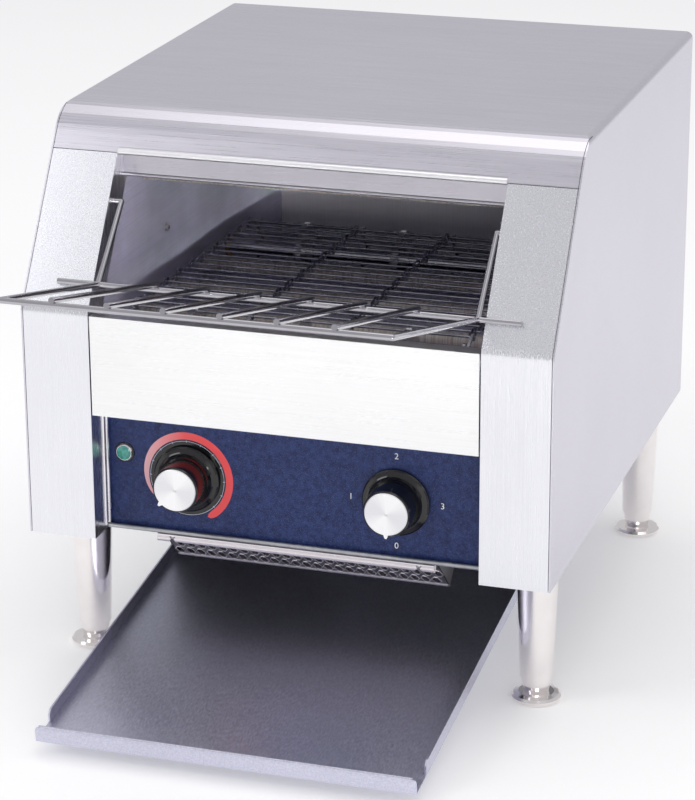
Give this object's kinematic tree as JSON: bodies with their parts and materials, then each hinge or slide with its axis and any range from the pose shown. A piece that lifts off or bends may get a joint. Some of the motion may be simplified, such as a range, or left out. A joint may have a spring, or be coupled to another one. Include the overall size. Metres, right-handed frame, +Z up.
{
  "type": "conveyor toaster",
  "caption": "Countertop conveyor toaster: bent stainless cabinet on legs, wire feed rack, hooked wire belt between quartz heaters, rear chute, sloping toast tray, dials and a lamp.",
  "frame": {"origin": "centre of the overall footprint, on the surface that the feet stand on", "axes": "+Z up, the front with the dials faces -Y, +X to the right seen from the front"},
  "size_m": [0.368, 0.592, 0.387],
  "materials": {
    "stainless_cover": "fine brushed, along the sides and across the brow",
    "stainless_front": "fine brushed, bright",
    "galvanised": "matt spangled sheet",
    "inner_steel": "bright annealed, slightly heat-stained",
    "panel_navy": "fine speckled dark blue film on steel",
    "tray_steel": "grainy linen-finish stainless",
    "quartz": "satin quartz",
    "ceramic_white": "glazed",
    "chrome_wire": "bright chrome",
    "belt_wire": "dull, heat-darkened stainless wire",
    "shaft_steel": "ground",
    "dark_steel": "oiled black steel",
    "bronze": "sintered bronze",
    "polished_leg": "polished stainless",
    "lamp_green": "clear green",
    "knob_black": "glossy",
    "cap_spun": "spun, radial grain",
    "black_plastic": "matt",
    "cream_plastic": "matt",
    "zinc": "zinc plated"
  },
  "bodies": {
    "cabinet": {"outer_cover": "stainless_cover", "rear_panel": "stainless_cover", "base_plate": "galvanised", "left_pillar": "stainless_front", "right_pillar": "stainless_front", "front_panel": "stainless_front", "control_panel": "panel_navy", "visor": "stainless_front", "left_wall": "inner_steel", "right_wall": "inner_steel", "chamber_floor": "galvanised", "rear_chute": "inner_steel", "upper_reflector": "inner_steel", "lower_reflector": "inner_steel", "upper_heaters": "quartz", "lower_heaters": "quartz", "heater_caps": "ceramic_white", "lamp_bezel": "polished_leg", "lamp_lens": "lamp_green", "speed_control": "black_plastic", "selector_switch": "black_plastic", "conveyor_belt": "belt_wire", "shaft_bushings": "bronze", "gear_motor": "dark_steel", "drive_chain": "dark_steel", "fan_frame": "black_plastic", "fan_guard": "chrome_wire", "mesh_guard": "stainless_front", "left_runner": "galvanised", "right_runner": "galvanised", "leg_front_left": "polished_leg", "leg_front_right": "polished_leg", "leg_rear_left": "polished_leg", "leg_rear_right": "polished_leg", "guard_screws": "zinc", "rear_screws": "zinc", "wall_screws": "zinc", "terminal_block": "cream_plastic", "cable_gland": "black_plastic"},
    "drive": {"drive_shaft": "shaft_steel", "drive_sprockets": "zinc", "chain_wheel": "dark_steel"},
    "idler": {"idler_shaft": "shaft_steel", "idler_sprockets": "zinc"},
    "motor_output": {"motor_shaft": "shaft_steel", "motor_sprocket": "dark_steel"},
    "fan": {"fan_rotor": "black_plastic"},
    "speed_dial": {"speed_shaft": "shaft_steel", "speed_knob": "knob_black", "speed_knob_cap": "cap_spun"},
    "selector_dial": {"selector_shaft": "shaft_steel", "selector_knob": "knob_black", "selector_knob_cap": "cap_spun"},
    "rack": {"feed_rack": "chrome_wire"},
    "crumb_tray": {"tray": "tray_steel"},
    "foot_fl": {"foot_front_left": "polished_leg"},
    "foot_fr": {"foot_front_right": "polished_leg"},
    "foot_rl": {"foot_rear_left": "polished_leg"},
    "foot_rr": {"foot_rear_right": "polished_leg"}
  },
  "joints": [
    {"name": "belt_drive", "type": "hinge", "parent": "cabinet", "child": "drive", "pos_m": [0, 0.14342, 0.23358], "axis": [1, 0, 0], "continuous": true, "deforming": ["conveyor_belt", "drive_chain"]},
    {"name": "belt_idler", "type": "hinge", "parent": "cabinet", "child": "idler", "pos_m": [0, -0.094, 0.2398], "axis": [1, 0, 0], "continuous": true},
    {"name": "motor_drive", "type": "hinge", "parent": "cabinet", "child": "motor_output", "pos_m": [0, 0.0879, 0.14473], "axis": [1, 0, 0], "continuous": true},
    {"name": "fan_spin", "type": "hinge", "parent": "cabinet", "child": "fan", "pos_m": [0, 0.006, 0.12], "axis": [0, 0, 1], "continuous": true},
    {"name": "speed_turn", "type": "hinge", "parent": "cabinet", "child": "speed_dial", "pos_m": [-0.078, -0.114, 0.144], "axis": [0, 1, 0], "range_deg": [0, 270]},
    {"name": "selector_turn", "type": "hinge", "parent": "cabinet", "child": "selector_dial", "pos_m": [0.071, -0.114, 0.144], "axis": [0, 1, 0], "range_deg": [0, 270]},
    {"name": "rack_lift", "type": "hinge", "parent": "cabinet", "child": "rack", "pos_m": [0, -0.07999, 0.328], "axis": [-1, 0, 0], "range_deg": [0, 140]},
    {"name": "tray_slide", "type": "slide", "parent": "cabinet", "child": "crumb_tray", "axis": [0, -0.9923, -0.1236], "range_m": [0, 0.065]},
    {"name": "foot_fl_screw", "type": "slide", "parent": "cabinet", "child": "foot_fl", "axis": [0, 0, -1], "range_m": [-0.009, 0.015]},
    {"name": "foot_fr_screw", "type": "slide", "parent": "cabinet", "child": "foot_fr", "axis": [0, 0, -1], "range_m": [-0.009, 0.015]},
    {"name": "foot_rl_screw", "type": "slide", "parent": "cabinet", "child": "foot_rl", "axis": [0, 0, -1], "range_m": [-0.009, 0.015]},
    {"name": "foot_rr_screw", "type": "slide", "parent": "cabinet", "child": "foot_rr", "axis": [0, 0, -1], "range_m": [-0.009, 0.015]}
  ],
  "couplings": [
    {"joint": "belt_idler", "follows": "belt_drive", "ratio": 1},
    {"joint": "motor_drive", "follows": "belt_drive", "ratio": 1}
  ]
}
